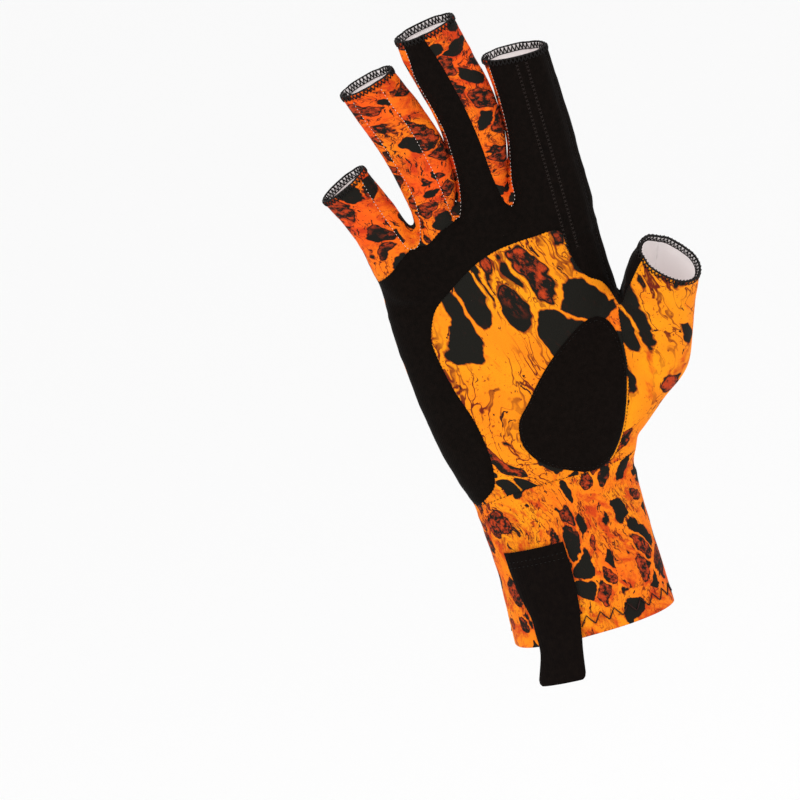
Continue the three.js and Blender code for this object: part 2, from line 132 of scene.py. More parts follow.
# %% Tables of the tubes
# Height, middle, half breadth (all in ten-thousandths) and half depth (thousandths of DEPTH).
BODY = [
    (0, 21, 3638, 733), (392, 21, 3574, 720), (979, 21, 3532, 687), (1567, -11, 3521, 653),
    (2037, -32, 3543, 613), (2350, -43, 3628, 580), (2742, 0, 4096, 547), (3134, 80, 4441, 527),
    (3721, 106, 4734, 513), (4309, 59, 4899, 500), (4896, -16, 4952, 480), (5484, -96, 4926, 447),
    (6072, -48, 4920, 407), (6463, -5, 4835, 360), (6777, 266, 4202, 287), (6973, 904, 2713, 183),
]
# Left edge x, z, right edge x, z, and half depth (thousandths of DEPTH).
DIGIT_ROWS = {
    "pinky": [
        (-473, 5797, -223, 5954, 367), (-503, 6230, -269, 6465, 340), (-530, 6707, -301, 6923, 313),
        (-560, 7048, -340, 7302, 293), (-596, 7369, -385, 7683, 273), (-638, 7712, -426, 8064, 250),
    ],
    "ring": [
        (-309, 6072, -53, 6072, 367), (-293, 6666, -69, 6685, 340), (-277, 7065, -94, 7065, 323),
        (-279, 7306, -67, 7345, 313), (-291, 7627, -59, 7690, 307), (-317, 8016, -68, 8196, 297),
        (-355, 8498, -106, 8733, 283), (-394, 8903, -147, 9138, 270), (-426, 9289, -191, 9504, 253),
    ],
    "middle": [
        (-74, 6269, 181, 6269, 367), (-117, 6745, 170, 6745, 340), (-85, 7085, 143, 7085, 327),
        (-52, 7345, 162, 7365, 317), (-46, 7788, 198, 7847, 307), (-51, 8253, 207, 8351, 297),
        (-77, 8699, 198, 8855, 287), (-105, 9125, 170, 9302, 277), (-128, 9552, 149, 9709, 263),
        (-138, 9899, 128, 10055, 253),
    ],
    "index": [
        (160, 6150, 484, 6150, 367), (128, 6666, 491, 6666, 340), (154, 7085, 494, 7085, 330),
        (181, 7365, 495, 7365, 323), (212, 7787, 495, 7787, 313), (219, 8352, 491, 8332, 300),
        (216, 8797, 487, 8770, 283), (205, 9243, 479, 9184, 267),
    ],
    "thumb": [
        (85, 3604, 319, 2389, 433), (191, 4235, 457, 2884, 460), (309, 4679, 585, 3288, 460),
        (404, 4956, 702, 3722, 443), (489, 5104, 757, 4144, 420), (530, 5331, 790, 4508, 393),
        (574, 5605, 821, 4822, 360), (633, 5865, 851, 5121, 327),
    ],
}
print("rows:", len(BODY), {name: len(rows) for name, rows in DIGIT_ROWS.items()})

# %% [markdown]
# A curve through the rows fills in the sections between them, so few rows are enough. Each section
# is square to the way its tube runs, which keeps a bent finger as thick as a straight one.

# %% Sections of the tubes
BELOW_HEM = 6.0  # the tube starts below the hem and is cut off there later
# How much fuller (share of the breadth) the cloth of a finger hangs on its left than the hand in
# it, which nearly closes the gaps between the fingers.
FULLER = {"ring": 0.012, "middle": 0.008, "index": 0.0095}


def rounded(rows, steps):
    """More rows between the given ones, along smooth curves through them."""
    rows = np.array(rows, float)
    ends = np.vstack([2 * rows[0] - rows[1], rows, 2 * rows[-1] - rows[-2]])
    out = []
    for i in range(1, len(ends) - 2):
        a, b, c, d = ends[i - 1:i + 3]
        for k in range(steps):
            t = k / steps
            out.append(0.5 * (2 * b + (c - a) * t + (2 * a - 5 * b + 4 * c - d) * t * t
                              + (3 * b - a - 3 * c + d) * t ** 3))
    return np.array(out + [rows[-1]])


def body_sections():
    rows = rounded(np.array(BODY) / [1e4, 1e4, 1e4, 1e3], 4)
    rows[0, 0] -= BELOW_HEM / LENGTH
    return [{"centre": np.array([x * BREADTH, 0, z * LENGTH]), "width": np.array([1.0, 0, 0]),
             "depth": np.array([0, -1.0, 0]), "out": np.array([0, 0, 1.0]),
             "half": (w * BREADTH, d * DEPTH)} for z, x, w, d in rows]


def tube_sections(table, bend_at, beyond):
    rows = rounded(table, 4)
    x, z = (rows[:, 0] + rows[:, 2]) / 2 * BREADTH, (rows[:, 1] + rows[:, 3]) / 2 * LENGTH
    centres = np.stack([x, bend_at(x, z), z], 1)
    found = []
    for i, row in enumerate(rows):
        across = np.array([(row[2] - row[0]) * BREADTH, 0, (row[3] - row[1]) * LENGTH])
        ahead = centres[min(i + 1, len(rows) - 1)] - centres[max(i - 1, 0)]
        width = across / np.linalg.norm(across)
        depth = np.cross(width, ahead)
        depth /= np.linalg.norm(depth)
        found.append({"centre": centres[i], "width": width, "depth": depth,
                      "out": np.cross(depth, width),
                      "half": (np.linalg.norm(across) / 2, row[4] * DEPTH)})
    if beyond:
        last = dict(found[-1])
        last["centre"] = last["centre"] + last["out"] * beyond
        found.append(last)
    return found


DIGITS = {}
for name, rows in DIGIT_ROWS.items():
    table = np.array(rows) / [1e3, 1e4, 1e3, 1e4, 1e3]
    table[:, 0] -= FULLER.get(name, 0) * np.clip((table[:, 1] - 0.69) / 0.04, 0, 1)
    DIGITS[name] = (table, thumb_bend if name == "thumb" else lambda x, z: bend(z))
TIPS = {name: tube_sections(table, at, 0)[-1] for name, (table, at) in DIGITS.items()}
print("openings at", {n: [round(float(v)) for v in s["centre"]] for n, s in TIPS.items()})

# %% [markdown]
# The tubes are closed, joined, and wrapped with one skin by a voxel remesh. That welds the crotches
# between the fingers without any seam of its own, and a few rounds of smoothing take away the steps
# of the voxels, as the stretch of the knit does on a hand. Voxels would also weld fingers that only
# lie close together, so the fingers are spread a little for the remesh and brought back after it.

# %% One skin round all the tubes
BODY_SIDES, DIGIT_SIDES = 96, 48
BODY_POWER, DIGIT_POWER = 2.3, 2.2  # 2 is an ellipse, more is squarer
PAST_THE_TIP = 7.0  # fingers run on past their openings and are cut off there later
APART = 2.4  # spread of neighbouring fingers for the remesh
SPREAD = {"pinky": -APART, "ring": -APART, "index": APART}
CROTCHES = 184  # height from which the fingers part


def placed(name, data):
    """An object with this data, linked to the scene."""
    thing = bpy.data.objects.new(name, data)
    bpy.context.collection.objects.link(thing)
    return thing


def new_mesh(name, points, faces, edges=()):
    """A smooth mesh from points in millimetres."""
    mesh = bpy.data.meshes.new(name)
    mesh.from_pydata(np.array(points) / 1000, edges, faces)
    mesh.polygons.foreach_set("use_smooth", np.ones(len(faces), bool))
    return mesh


def applied(thing):
    """The mesh that an object's modifiers give."""
    return bpy.data.meshes.new_from_object(thing.evaluated_get(bpy.context.evaluated_depsgraph_get()))


def ring_points(section, count, power):
    turn = np.linspace(0, 2 * math.pi, count, endpoint=False)
    c, s = np.cos(turn), np.sin(turn)
    wide = np.sign(c) * np.abs(c) ** (2 / power) * section["half"][0]
    deep = np.sign(s) * np.abs(s) ** (2 / power) * section["half"][1]
    return section["centre"] + np.outer(wide, section["width"]) + np.outer(deep, section["depth"])


def closed_tube(sections, count, power):
    points = np.vstack([ring_points(s, count, power) for s in sections])
    faces = []
    for i in range(len(sections) - 1):
        for j in range(count):
            k = (j + 1) % count
            faces.append((i * count + j, i * count + k, (i + 1) * count + k, (i + 1) * count + j))
    top = (len(sections) - 1) * count
    return points, faces + [tuple(range(count))[::-1], tuple(range(top, top + count))]


def parting(z):
    """How far the fingers are spread at each height, from 0 at the crotches to 1."""
    t = np.clip((z - CROTCHES) / 9, 0, 1)
    return t * t * (3 - 2 * t)


points, faces = closed_tube(body_sections(), BODY_SIDES, BODY_POWER)
for name, (table, at) in DIGITS.items():
    more, more_faces = closed_tube(tube_sections(table, at, PAST_THE_TIP), DIGIT_SIDES, DIGIT_POWER)
    more[:, 0] += SPREAD.get(name, 0) * parting(more[:, 2])
    faces += [tuple(v + len(points) for v in f) for f in more_faces]
    points = np.vstack([points, more])

form = placed("hand form", new_mesh("hand form", points, faces))
wrap = form.modifiers.new("wrap", "REMESH")
wrap.mode = "VOXEL"
wrap.voxel_size = PITCH / 1000
ease = form.modifiers.new("ease", "SMOOTH")
ease.factor, ease.iterations = 0.5, 14
skin = applied(form)
bpy.data.objects.remove(form)
skin.calc_loop_triangles()
at_rest = np.zeros(len(skin.vertices) * 3)
skin.vertices.foreach_get("co", at_rest)
spots = at_rest.reshape(-1, 3) * 1000
corners = np.zeros(len(skin.loop_triangles) * 3, int)
skin.loop_triangles.foreach_get("vertices", corners)
corners = corners.reshape(-1, 3)
print("skin:", len(spots), "points,", len(corners), "triangles")

# %% [markdown]
# Now the fingers go back to their places. Each point is told by the gap it lies beside. At the root
# of the gap beside the first finger the cloth is drawn a little closer, as it is when worn.

# %% Fingers back together
def edge_at(name, side, z):
    """Left (0) or right (2) edge of a finger at a height."""
    table = DIGITS[name][0]
    return np.interp(z, table[:, side + 1] * LENGTH, table[:, side] * BREADTH)


height, spread = spots[:, 2], parting(spots[:, 2])
left_gap = (edge_at("ring", 2, height) - APART * spread + edge_at("middle", 0, height)) / 2
right_gap = (edge_at("middle", 2, height) + edge_at("index", 0, height) + APART * spread) / 2
from_right_gap = spots[:, 0] - right_gap
spots[:, 0] += APART * spread * ((spots[:, 0] < left_gap).astype(float) - (from_right_gap > 0))
close = 0.9 * np.exp(-((height - 193) / 7) ** 2 - (from_right_gap / 7) ** 2) * (height > CROTCHES)
spots[:, 0] -= close * np.sign(from_right_gap)


def normals_of(spots, corners):
    """Smooth normals of the skin, one for each point."""
    a, b, c = (spots[corners[:, k]] for k in range(3))
    face = np.cross(b - a, c - a)
    out = np.zeros_like(spots)
    for k in range(3):
        np.add.at(out, corners[:, k], face)
    return out / np.maximum(np.linalg.norm(out, axis=1, keepdims=True), 1e-9)


centre = spots.mean(0)
outward = normals_of(spots, corners)
if np.mean(np.sum(outward * (spots - centre), 1)) < 0:
    corners = corners[:, ::-1]
    outward = -outward
print("skin from", spots.min(0).round(1), "to", spots.max(0).round(1))

# %% [markdown]
# Seams are drawn as lines seen straight from the palm, or from the back of the hand. Points are x
# and z, in thousandths of the breadth and ten-thousandths of the length.

# %% Seam lines
PALM_LINES = {
    "thumb panel": [
        (477, 4922), (462, 4746), (449, 4315), (438, 3923), (413, 3531), (361, 3022), (296, 2654),
        (239, 2489),
    ],
    "wrist": [
        (-426, 2313), (-362, 2352), (-298, 2411), (-191, 2470), (0, 2509), (213, 2485), (362, 2513),
        (479, 2532),
    ],
    "insert": [
        (477, 4922), (436, 5274), (383, 5431), (351, 5627), (330, 5921), (314, 6273), (213, 6305),
        (53, 6273), (-53, 6175), (-128, 6038), (-213, 5842), (-298, 5607), (-340, 5294), (-351, 5020),
        (-319, 4354), (-266, 3727), (-245, 3179), (-255, 2709), (-298, 2513), (-383, 2293),
    ],
    "small fingers": [
        (-94, 6904), (-128, 6856), (-191, 6776), (-255, 6629), (-309, 6657), (-351, 6587),
        (-394, 6489), (-426, 6391), (-479, 6273), (-553, 6117),
    ],
    "pinky ring": [
        (-473, 8221), (-457, 7979), (-426, 7536), (-383, 7055), (-351, 6736), (-330, 6633),
        (-298, 6629), (-272, 6776), (-253, 7135), (-259, 7536), (-289, 7979), (-328, 8463),
        (-372, 8908), (-404, 9355), (-415, 9640),
    ],
    "ring middle": [
        (-287, 9681), (-271, 9396), (-234, 8949), (-191, 8544), (-160, 8059), (-138, 7657),
        (-126, 7295), (-116, 6995), (-96, 6888), (-74, 6995), (-47, 7255), (-32, 7496), (-27, 7938),
        (-34, 8342), (-60, 8787), (-89, 9233), (-111, 9640), (-128, 10211),
    ],
    "middle index": [
        (-43, 10293), (-27, 9925), (21, 9355), (53, 8827), (74, 8423), (90, 7938), (96, 7536),
        (106, 7235), (120, 6955), (145, 6848), (169, 6955), (181, 7215), (202, 7456), (230, 7898),
        (237, 8423), (234, 8868), (226, 9558),
    ],
    "gusset": [
        (460, 9558), (463, 9193), (472, 8544), (474, 7536), (470, 6587), (465, 5803), (464, 5412),
        (477, 4922), (530, 5159), (564, 5339), (606, 5553), (662, 5790), (702, 6019),
    ],
}
BACK_LINES = {
    "back pinky ring": [
        (-489, 8187), (-473, 7952), (-420, 7482), (-367, 7051), (-330, 6738), (-303, 6561),
        (-277, 6640), (-250, 6894), (-243, 7208), (-255, 7521), (-287, 7874), (-322, 8363),
        (-372, 8814), (-404, 9245), (-415, 9519),
    ],
    "back ring middle": [
        (-255, 9597), (-234, 9362), (-181, 8970), (-149, 8657), (-117, 8344), (-100, 8030),
        (-96, 7639), (-106, 7286), (-116, 6973), (-96, 6863), (-64, 6973), (-21, 7325), (-16, 7834),
        (-27, 8226), (-53, 8696), (-80, 9205), (-106, 9793), (-117, 10106),
    ],
    "back middle index": [
        (74, 10185), (85, 9910), (106, 9519), (138, 9088), (163, 8696), (167, 8383), (160, 8030),
        (138, 7639), (120, 7286), (117, 6992), (138, 6855), (168, 6973), (213, 7325), (241, 7756),
        (251, 8304), (247, 8696), (237, 9401),
    ],
    "back gusset": [
        (411, 9401), (415, 9049), (420, 8422), (423, 7443), (420, 6463), (404, 5876), (379, 5602),
        (324, 5288), (296, 4936), (309, 4583), (362, 4348), (436, 4191), (500, 4152), (548, 4270),
        (596, 4564), (644, 4975), (686, 5406), (723, 5837), (755, 6228),
    ],
}
PATCH_OUTLINE = [
    (372, 4804), (415, 4706), (436, 4432), (431, 3962), (404, 3531), (351, 3022), (287, 2670),
    (234, 2532), (160, 2493), (53, 2630), (-43, 2865), (-85, 3100), (-96, 3296), (-80, 3570),
    (-21, 3806), (53, 4119), (149, 4432), (266, 4714), (330, 4804),
]
print("seam lines:", len(PALM_LINES) + len(BACK_LINES))

# %% [markdown]
# Shot onto the skin, a line gives the path for its stitches, and the same lines later tell the
# panels apart. A ray finds the place that a seam drawn in a plan has on the round hand.

# %% Seams on the skin
FAR = 90  # rays start this far off the glove


def in_mm(line):
    return np.array(line) / [1e3, 1e4] * [BREADTH, LENGTH]


def walk(line, step, closed=False):
    """Even steps along a smooth curve through the points of a line."""
    line = np.vstack([line, line[:1]]) if closed else line
    line = rounded(line, 6)
    gone = np.concatenate([[0], np.cumsum(np.linalg.norm(np.diff(line, axis=0), axis=1))])
    at = np.linspace(0, gone[-1], max(2, int(gone[-1] / step)))
    return np.stack([np.interp(at, gone, line[:, k]) for k in range(line.shape[1])], 1)


def tree_of(spots):
    return BVHTree.FromPolygons([Vector(p) for p in spots], corners.tolist())


def on_skin(tree, line, side, step, closed=False):
    """A seam line shot onto the skin from the palm side (-1) or the back (1)."""
    found = []
    for x, z in walk(line, step, closed):
        hit, normal, _, _ = tree.ray_cast(Vector((x, side * FAR, z)), Vector((0, -side, 0)))
        if hit is not None and (hit.y - float(middle_depth(x, z))) * side > -1:
            found.append((np.array(hit), np.array(normal)))
    return found


SEAMS = {name: (in_mm(line), -1) for name, line in PALM_LINES.items()}
SEAMS.update({name: (in_mm(line), 1) for name, line in BACK_LINES.items()})
# The right legs of two seams between fingers lie further out, towards the gap.
for name, beyond in [("ring middle", -9.0), ("middle index", 13.7)]:
    line = SEAMS[name][0]
    line[:, 0] -= 1.5 * (line[:, 0] > beyond) * np.clip((line[:, 1] - 183) / 15, 0, 1)
tree = tree_of(spots)
paths = {name: on_skin(tree, line, side, 0.8) for name, (line, side) in SEAMS.items()}
print("seams:", {name: len(path) for name, path in paths.items()})

# %% [markdown]
# Sewn cloth is never smooth. It dips along each seam and swells beside it, it folds where the thumb
# leaves the palm, and it ripples a little everywhere. All of that is one push of each point along
# its normal, which keeps the skin whole.

# %% Seam dips, folds and ripples
# Columns: x, z of a fold's middle, direction in degrees from +X, half length, half width, depth.
FOLDS = [
    (47.0, 125.2, -28, 9, 2.2, 1.3), (48.4, 114.0, -8, 10, 2.4, 1.3), (47.0, 103.5, 14, 9, 2.4, 1.2),
    (52.0, 132.0, -40, 7, 1.7, 0.8), (1.9, 68.6, 4, 26, 2.6, 1.1), (30.0, 60.0, 20, 9, 2.0, 0.8),
    (-28.0, 58.0, -24, 9, 2.0, 0.8), (-38.0, 150.0, -14, 12, 2.4, 0.7), (-36.0, 132.0, 38, 12, 2.6, 0.6),
    (33.0, 166.0, 6, 12, 2.4, 0.7), (4.0, 176.0, -4, 9, 2.2, 0.6), (-17.0, 178.0, -8, 8, 2.2, 0.6),
    (35.0, 196.0, -4, 9, 2.2, 0.6), (-43.0, 178.0, 24, 8, 2.0, 0.6),
]

DIP, DIP_WIDE = 0.36, 1.3  # on the seam
SWELL, SWELL_AT, SWELL_WIDE = 0.22, 3.6, 2.2  # beside it
RIPPLES = [(0.75, 21, (0, 0, 0)), (0.22, 8, (7, 3, 1))]  # height, size, place in the noise
BALLS = [(62, 90, 12, 1.7), (48, 76, 9, 0.8)]  # x, z, radius and height of the thumb's two balls
CROTCH_X, CROTCH_Z, CROTCH_SLOPE = 46.8, 130.8, 2.5  # the thumb's crotch comes to a point

near_seam = KDTree(sum(len(p) for p in paths.values()))
for i, (hit, _) in enumerate(step for path in paths.values() for step in path):
    near_seam.insert(Vector(hit), i)
near_seam.balance()
push = np.zeros(len(spots))
for i, p in enumerate(spots):
    away = near_seam.find(Vector(p))[2]
    push[i] -= DIP * math.exp(-(away / DIP_WIDE) ** 2)
    push[i] += SWELL * math.exp(-((away - SWELL_AT) / SWELL_WIDE) ** 2)
    push[i] += sum(tall * noise.noise(Vector(p) / size + Vector(at)) for tall, size, at in RIPPLES)
for x, z, wide, swell in BALLS:
    push += swell * np.exp(-((spots[:, 0] - x) ** 2 + (spots[:, 2] - z) ** 2) / wide ** 2)
on_palm = spots[:, 1] < middle_depth(spots[:, 0], spots[:, 2])
for x, z, direction, long, wide, deep in FOLDS:
    c, s = math.cos(math.radians(direction)), math.sin(math.radians(direction))
    dx, dz = spots[:, 0] - x, spots[:, 2] - z
    along, aside = (dx * c + dz * s) / long, (dz * c - dx * s) / wide
    banks = 0.45 * np.exp(-((np.abs(aside) - 2) / 0.9) ** 2)
    push -= np.where(on_palm, deep * np.exp(-along ** 2) * (np.exp(-aside ** 2) - banks), 0)
spots = spots + outward * push[:, None]
aside, z = np.abs(spots[:, 0] - CROTCH_X), spots[:, 2]
crotch = (aside < 5) & (z > 126) & (z < 144) & (outward[:, 2] > 0.1)
spots[:, 2] = np.where(crotch, np.minimum(z, CROTCH_Z + CROTCH_SLOPE * aside), z)
outward = normals_of(spots, corners)
print("pushed by", round(float(push.min()), 2), "to", round(float(push.max()), 2), "mm")

# %% [markdown]
# A panel is cut from the skin as a tailor would, along the line itself. For that each point gets its
# distance to the line, less than nothing inside the panel, and a triangle that the line crosses is
# cut in two. This leaves clean edges, which picking whole faces could not.

# %% Cutting along a line
SNAP = 0.06  # a point this near to the line counts as on it


def inside(line, x, z):
    """Distance to a closed outline, less than nothing inside it."""
    best, odd = np.full(len(x), 1e9), np.zeros(len(x), bool)
    for (ax, az), (bx, bz) in zip(line, np.roll(line, -1, 0)):
        ex, ez = bx - ax, bz - az
        t = np.clip(((x - ax) * ex + (z - az) * ez) / max(ex * ex + ez * ez, 1e-9), 0, 1)
        best = np.minimum(best, np.hypot(x - ax - t * ex, z - az - t * ez))
        crosses = (az > z) != (bz > z)
        odd ^= crosses & (x < ex * (z - az) / (ez if ez else 1e-9) + ax)
    return np.where(odd, -best, best)


def cut(corners, field):
    """Splits triangles where the field changes sign; gives those inside and those outside."""
    global spots, outward
    value = field(spots)
    value[np.abs(value) < SNAP] = 0
    sign = np.sign(value)
    s = sign[corners]
    clean = ~((s.max(1) > 0) & (s.min(1) < 0))
    within = clean & ((s.min(1) < 0) | ((s.max(1) == 0) & (s.min(1) == 0)))
    parts = {True: [corners[within]], False: [corners[clean & ~within]]}
    made, new_spots, new_outward, known = {True: [], False: []}, [], [], {}

    def between(a, b):
        key = (min(a, b), max(a, b))
        if key not in known:
            t = value[a] / (value[a] - value[b])
            known[key] = len(spots) + len(new_spots)
            new_spots.append(spots[a] + (spots[b] - spots[a]) * t)
            n = outward[a] + (outward[b] - outward[a]) * t
            new_outward.append(n / max(np.linalg.norm(n), 1e-9))
        return known[key]

    for tri in corners[~clean].tolist():
        low, high = [], []
        for a, b in zip(tri, tri[1:] + tri[:1]):
            if sign[a] <= 0:
                low.append(a)
            if sign[a] >= 0:
                high.append(a)
            if sign[a] * sign[b] < 0:
                middle = between(a, b)
                low.append(middle)
                high.append(middle)
        for poly, side in ((low, True), (high, False)):
            for k in range(1, len(poly) - 1):
                made[side].append((poly[0], poly[k], poly[k + 1]))
    if new_spots:
        spots = np.vstack([spots, new_spots])
        outward = np.vstack([outward, new_outward])
    return [np.vstack(parts[k] + ([np.array(made[k])] if made[k] else [])) for k in (True, False)]


def side_of(p):
    return p[:, 1] - middle_depth(p[:, 0], p[:, 2])


def on_the_palm(outline):
    line = np.array(outline, float)
    return lambda p: np.maximum(inside(line, p[:, 0], p[:, 2]), side_of(p))


def both_sides(front, back):
    return lambda p: np.where(side_of(p) < 0, inside(front, p[:, 0], p[:, 2]),
                              inside(back, p[:, 0], p[:, 2]))


print("triangles before any cut:", len(corners))

# %% [markdown]
# The glove is open at the wrist and at five fingertips. The skin is cut off level at the hem, and
# square to each finger at its tip. A box round the finger keeps its neighbours out of that cut.

# %% Openings
def off_the_tube(p, tip, room=1.15):
    """Distance outside a finger's own box, less than nothing within it."""
    away = p - tip["centre"]
    wide, deep, along = (np.abs(away @ tip[way]) for way in ("width", "depth", "out"))
    return np.maximum(wide - tip["half"][0] - room, np.maximum(deep - tip["half"][1] - 3, along - 12))


_, left = cut(corners, lambda p: p[:, 2])
for tip in TIPS.values():
    _, left = cut(left, lambda p: np.maximum((tip["centre"] - p) @ tip["out"], off_the_tube(p, tip)))
print("open skin:", len(left), "triangles")

# %% [markdown]
# The panels come off one by one: first the strips between the fingers and the black gusset, which
# run from the palm side to the back, then the pieces of the palm side. What is left is the back
# panel, which also wraps round the thumb.

# %% Panels
def smooth_line(name):
    return walk(SEAMS[name][0], 1.5)


TOP = 278.0
panels = {}
# Name of the piece, its two seams, and the points that close each seam line to an outline.
for piece, front, back, close, back_close in [
    ("thumb_gusset", "gusset", "back gusset", [(72, 166), (60, 256)], [(76, 172), (60, 256)]),
    ("pinky_ring_side", "pinky ring", "back pinky ring",
     [(-41, 256), (-50, 256), (-48, 222)], [(-41, 256), (-50, 256), (-48, 222)]),
    ("ring_middle_side", "ring middle", "back ring middle",
     [(-12, TOP), (-27, TOP)], [(-11, TOP), (-24, TOP)]),
    ("middle_index_side", "middle index", "back middle index",
     [(22, TOP), (-4, TOP)], [(23, TOP), (7, TOP)]),
]:
    outline = np.vstack([smooth_line(front), close])
    back_outline = np.vstack([smooth_line(back), back_close])
    panels[piece], left = cut(left, both_sides(outline, back_outline))


def within(name, close):
    """Cutting field of the palm side within a seam line and the points that close it."""
    return on_the_palm(np.vstack([smooth_line(name), close]))


panels["cuff_front"], left = cut(left, within("wrist", [
    (70, 64), (70, -20), (-70, -20), (-70, 58)]))
palm_side, left = cut(left, within("thumb panel", [
    (22.5, 45), (-80, 45), (-80, 300), (60, 300), (60, 180), (47, 150)]))
panels["palm_insert"], palm_side = cut(palm_side, within("insert", [
    (-36, 40), (60, 40), (60, 129)]))
small_fingers, panels["palm_panel"] = cut(palm_side, within("small fingers", [
    (-80, 160), (-80, 290), (-19, 290), (-17, 250), (-11, 230), (-8, 205)]))
panels["pinky_front"], panels["ring_front"] = cut(small_fingers, on_the_palm([
    (-29, 165), (-29.5, 178), (-38, 205), (-46, 222), (-50, 262), (-90, 262), (-90, 140), (-29, 140)]))
panels["back_panel"] = left
print({name: len(tris) for name, tris in panels.items()})

# %% [markdown]
# Materials are built from nodes. One small function adds a node, sets it and feeds its sockets, and
# colours are given as they look on screen, so another function turns them to linear light.

# %% Helpers for materials
WAVES = 0.314  # scale of the wave texture that sets its bands 1 mm apart


def linear(code):
    """sRGB hex to linear RGBA."""
    parts = [int(code[k:k + 2], 16) / 255 for k in (1, 3, 5)]
    return [p / 12.92 if p <= 0.04045 else ((p + 0.055) / 1.055) ** 2.4 for p in parts] + [1.0]


# Sockets that a row of values feeds in order, where they aren't simply the first ones.
SOCKETS = {
    "Mix": ("Factor", "A", "B"), "MapRange": ("Value", "From Min", "From Max", "To Max"),
    "TexNoise": ("Vector", "Scale", "Detail", "Roughness"),
    "TexVoronoi": ("Vector", "Scale", "Randomness"), "Mapping": ("Vector", "Rotation", "Scale"),
    "Bump": ("Strength", "Distance", "Height"),
    "TexWave": ("Vector", "Scale", "Distortion", "Detail", "Detail Scale"),
}


def put(tree, kind, *values, feeds=None, out=0, **settings):
    """Adds a node with its settings, feeds its sockets, and gives one output (or the node)."""
    node = tree.nodes.new(kind if "Node" in kind else "ShaderNode" + kind)
    for key, value in settings.items():
        setattr(node, key, value)
    row = dict(zip(SOCKETS.get(kind, range(9)), values))
    for socket, value in {**row, **(feeds or {})}.items():
        if isinstance(value, bpy.types.NodeSocket):
            tree.links.new(value, node.inputs[socket])
        else:
            node.inputs[socket].default_value = value
    return node if out is None else node.outputs[out]


def new_material(name, colour, roughness, sheen=0.0, specular=0.5):
    """A plain cloth or thread; the colour may be painted over by nodes later."""
    material = bpy.data.materials.new(name)
    material.use_nodes = True
    shader = material.node_tree.nodes["Principled BSDF"]
    for socket, value in (("Base Color", linear(colour)), ("Roughness", roughness), ("Sheen Weight", sheen),
                          ("Sheen Roughness", 0.4), ("Specular IOR Level", specular)):
        shader.inputs[socket].default_value = value
    return material, material.node_tree, shader


def knit_bump(tree, shader, place, pitch, strength):
    """The rows of fine knit, as a bump: waves a pitch (mm) apart with a little noise."""
    wave = put(tree, "TexWave", place, WAVES / pitch, 1.2, 1.0, 2.0, out=1,
               wave_type="BANDS", bands_direction="X")
    fuzz = put(tree, "TexNoise", place, 2.2, 2.0)
    both = put(tree, "Math", wave, fuzz, operation="ADD")
    tree.links.new(put(tree, "Bump", strength, 0.0002, both), shader.inputs["Normal"])


print("nodes with named sockets:", list(SOCKETS))

# %% [markdown]
# The printed cloth is polyester stretch knit, dyed by sublimation, so the ink sits in the yarn and
# stays matt. The print is a made-up pattern of embers: charcoal cells in orange veins, some of them
# rusty and mottled, with thin flow lines and specks between. Voronoi cells give the network and
# noise bends it. Two attributes painted on the mesh steer it: "print" is the place in the pattern,
# and "tone" says how dark, how yellow and how red the print is there.

# %% Printed knit
LEAN = (0, -0.45, 0)  # the pattern leans across the glove (radians)


